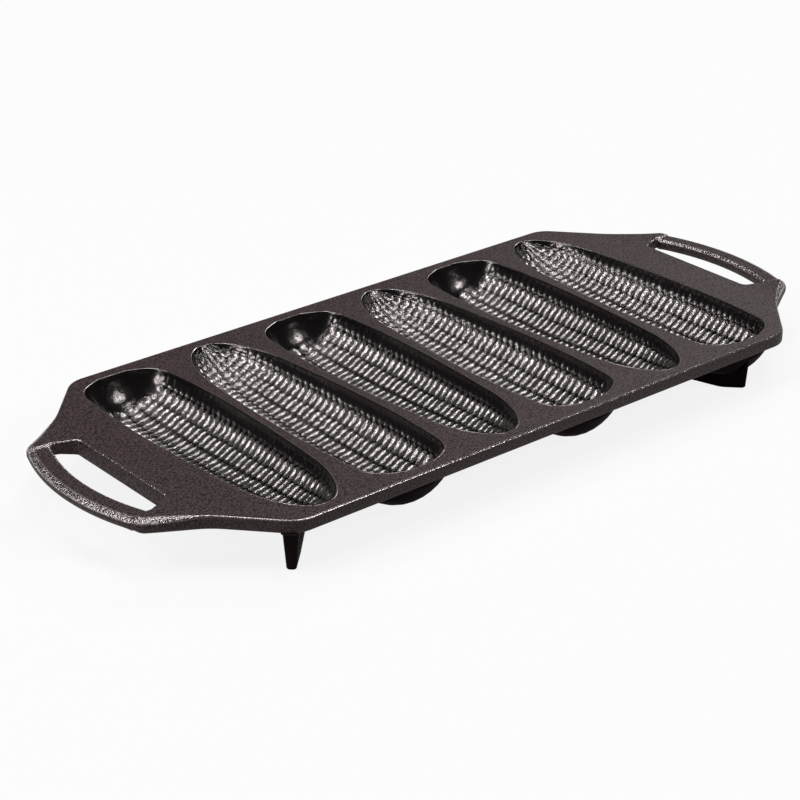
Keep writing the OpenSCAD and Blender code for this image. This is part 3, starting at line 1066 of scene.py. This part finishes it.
def mouldBlock(number):
    # the space that a mould fills, used to cut the feet where they meet it
    points, faces, rings = [], [], []
    across = footForm["blockAcross"]
    for s in stations[::footForm["blockStep"]] + [cobMould["length"]]:
        ring = []
        for j in range(across + 1):
            x, y, z = shellPoint(s, 2 * j / across - 1)
            points.append(turned(number, x, y) + (z + deckTop,))
            ring.append(len(points) - 1)
        for x, y, z in (shellPoint(s, 1), shellPoint(s, -1)):
            points.append(turned(number, x, y) + (deckTop + footForm["blockRise"],))
            ring.append(len(points) - 1)
        rings.append(ring)
    for a, b in zip(rings[:-1], rings[1:]):
        for j in range(len(a)):
            k = (j + 1) % len(a)
            faces.append((a[j], a[k], b[k], b[j]))
    faces += [tuple(rings[0]), tuple(rings[-1][::-1])]
    return solidPiece("mouldBlock", points, faces, [0] * len(faces), [True] * len(faces), ())


def finRing(z, inset):
    # one level of a foot, as a rounded oblong that starts at its outer end
    f = footForm
    rise = max(0.0, min(1.0, z / underDeck))
    half = (f["tipThickness"] + (f["rootThickness"] - f["tipThickness"]) * rise) / 2 - inset
    under = underDeck - f["flare"]
    outer = -f["draft"] * min(z, under) / under
    if z > under:
        turn = math.asin(min(1.0, (z - under) / f["flare"]))
        outer -= f["flare"] * (1 - math.cos(turn))
    inner = min(f["length"], f["tipLength"] + z / math.tan(math.radians(f["rise"])))
    r = min(f["sideRound"], half * f["sideShare"])
    ring = []
    innerX, outerX = inner - inset - r, outer + inset + r
    for cx, cy, start in ((innerX, half - r, 0), (outerX, half - r, 90),
                          (outerX, -half + r, 180), (innerX, -half + r, 270)):
        for k in range(f["cornerSteps"] + 1):
            a = math.radians(start + 90 * k / f["cornerSteps"])
            ring.append((cx + r * math.cos(a), cy + r * math.sin(a), z))
    return ring


def cornerFoot(name, node, mould, x, y, heading):
    f = footForm
    rings = []
    for angle in f["tipAngles"]:
        a = math.radians(angle)
        rings.append(finRing(f["tipRound"] * (1 - math.cos(a)), f["tipRound"] * (1 - math.sin(a))))
    rings += [finRing(z, 0) for z in f["heights"]]
    for k in range(f["flareSteps"] + 1):
        a = math.radians(90 * k / f["flareSteps"])
        rings.append(finRing(underDeck - f["flare"] * (1 - math.sin(a)), 0))
    turn = math.radians(heading)
    points, faces = [], []
    for ring in rings:
        for px, py, pz in ring:
            points.append((x + px * math.cos(turn) - py * math.sin(turn),
                           y + px * math.sin(turn) + py * math.cos(turn), pz))
    size = len(rings[0])
    for level in range(len(rings) - 1):
        for k in range(size):
            n = (k + 1) % size
            low, high = level * size, (level + 1) * size
            faces.append((low + k, low + n, high + n, high + k))
    faces.append(tuple(range(size))[::-1])
    faces.append(tuple(range((len(rings) - 1) * size, len(rings) * size)))
    flats = [False] * (len(faces) - 2) + [True, True]
    piece = solidPiece(name, points, faces, [0] * len(faces), flats, (undersideIron,))
    block = mouldBlock(mould)
    cut = piece.modifiers.new("seat", "BOOLEAN")
    cut.operation = "DIFFERENCE"
    cut.solver = "EXACT"
    cut.object = block
    graph = bpy.context.evaluated_depsgraph_get()
    shaped = bpy.data.meshes.new_from_object(piece.evaluated_get(graph))
    piece.modifiers.clear()
    piece.data = shaped
    bpy.data.objects.remove(block)
    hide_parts(node)
    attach(piece, "root")


footY = deckForm["halfWidth"] - footForm["inset"]
lastMould = cobMould["count"]
lastX = mouldX(lastMould)
cornerFoot("footNearRight", "foot_near_right", lastMould, lastX, -footY, 135)
cornerFoot("footFarRight", "foot_far_right", lastMould, lastX + footForm["shift"], footY, 225)
cornerFoot("footNearLeft", "foot_near_left", 1, -lastX - footForm["shift"], -footY, 45)
cornerFoot("footFarLeft", "foot_far_left", 1, -lastX, footY, 315)
print("feet made")


# Floor, lamps and camera

studio = {
    "floorHalf": 8.0,
    "floorColour": (0.10, 0.10, 0.10, 1),
    "floorGlow": 0.86,             # share of plain white that the camera and glossy iron see
    "worldColour": (1, 1, 1, 1),
    "worldStrength": 0.0,
    "lens": 102.63,
    "sensor": 36,
    "cameraPlace": (-0.53256, -0.61794, 0.39832),
    "cameraTilt": 64.103,
    "cameraTurn": -39.780,
    "lampReach": 2.6,
    "lampSize": 0.7,
    # azimuth (0 is the far side, 90 the right), elevation and level of each soft lamp
    "lamps": {
        "farRightLamp": (60, 36, 0.200),
        "frontRightLamp": (150, 36, 0.234),
        "leftLamp": (270, 20, 0.197),
        "farLeftLamp": (300, 36, 0.160),
        "frontRightOverheadLamp": (144, 72, 0.122),
        "leftOverheadLamp": (284, 62, 0.155),
        "rightOverheadLamp": (72, 72, 0.073),
        "farOverheadLamp": (0, 72, 0.125),
    },
}


def paleFloor():
    # takes the lamps' shadow, and looks white to the camera and in glossy iron
    mesh = bpy.data.meshes.new("floor")
    half = studio["floorHalf"]
    corners = [(-half, -half, 0), (half, -half, 0), (half, half, 0), (-half, half, 0)]
    mesh.from_pydata(corners, [], [(0, 1, 2, 3)])
    floor = bpy.data.objects.new("floor", mesh)
    bpy.context.scene.collection.objects.link(floor)
    material = bpy.data.materials.new("paleFloor")
    material.use_nodes = True
    tree = material.node_tree
    tree.nodes.clear()
    n = addNodes(tree, out="ShaderNodeOutputMaterial", paint="ShaderNodeBsdfDiffuse",
                 glow="ShaderNodeEmission", blend="ShaderNodeMixShader", tint="ShaderNodeMix",
                 path="ShaderNodeLightPath", seen="ShaderNodeMath", mirrored="ShaderNodeMath",
                 share="ShaderNodeMath")
    n["tint"].data_type = "RGBA"
    n["tint"].inputs[6].default_value = studio["floorColour"]
    n["tint"].inputs[7].default_value = (1, 1, 1, 1)
    n["glow"].inputs["Color"].default_value = (1, 1, 1, 1)
    n["glow"].inputs["Strength"].default_value = 1.0
    n["mirrored"].operation = "MAXIMUM"
    n["seen"].operation = "MAXIMUM"
    n["share"].operation = "MULTIPLY"
    n["share"].inputs[1].default_value = studio["floorGlow"]
    join(tree, n["path"], "Is Camera Ray", n["seen"], 0)
    join(tree, n["path"], "Is Glossy Ray", n["mirrored"], 0)
    join(tree, n["path"], "Is Transmission Ray", n["mirrored"], 1)
    join(tree, n["mirrored"], "Value", n["seen"], 1)
    join(tree, n["seen"], "Value", n["share"], 0)
    join(tree, n["seen"], "Value", n["tint"], 0)
    tree.links.new(n["tint"].outputs[2], n["paint"].inputs["Color"])
    join(tree, n["share"], "Value", n["blend"], 0)
    join(tree, n["paint"], "BSDF", n["blend"], 1)
    join(tree, n["glow"], "Emission", n["blend"], 2)
    join(tree, n["blend"], "Shader", n["out"], "Surface")
    mesh.materials.append(material)


def softLamp(name, azimuth, elevation, level):
    # a round lamp that lights a surface facing it at the middle of the pan by this share of plain white
    reach = studio["lampReach"]
    data = bpy.data.lights.new(name, "AREA")
    data.shape = "DISK"
    data.size = studio["lampSize"]
    data.energy = level * (math.pi * reach) ** 2
    lamp = bpy.data.objects.new(name, data)
    a, e = math.radians(azimuth), math.radians(elevation)
    away = reach * math.cos(e)
    lamp.location = (away * math.sin(a), away * math.cos(a), reach * math.sin(e))
    lamp.rotation_euler = (-Vector(lamp.location)).to_track_quat("-Z", "Y").to_euler()
    bpy.context.scene.collection.objects.link(lamp)


paleFloor()
for lampName, lampPlace in studio["lamps"].items():
    softLamp(lampName, *lampPlace)

world = bpy.data.worlds.new("studioWorld")
bpy.context.scene.world = world
world.use_nodes = True
sky = world.node_tree.nodes["Background"]
sky.inputs["Color"].default_value = studio["worldColour"]
sky.inputs["Strength"].default_value = studio["worldStrength"]

cameraData = bpy.data.cameras.new("camera")
cameraData.lens = studio["lens"]
cameraData.sensor_width = studio["sensor"]
camera = bpy.data.objects.new("camera", cameraData)
camera.location = studio["cameraPlace"]
camera.rotation_euler = (math.radians(studio["cameraTilt"]), 0, math.radians(studio["cameraTurn"]))
bpy.context.scene.collection.objects.link(camera)
bpy.context.scene.camera = camera
bpy.context.scene.view_settings.view_transform = "Standard"
print("floor, lamps and camera set")
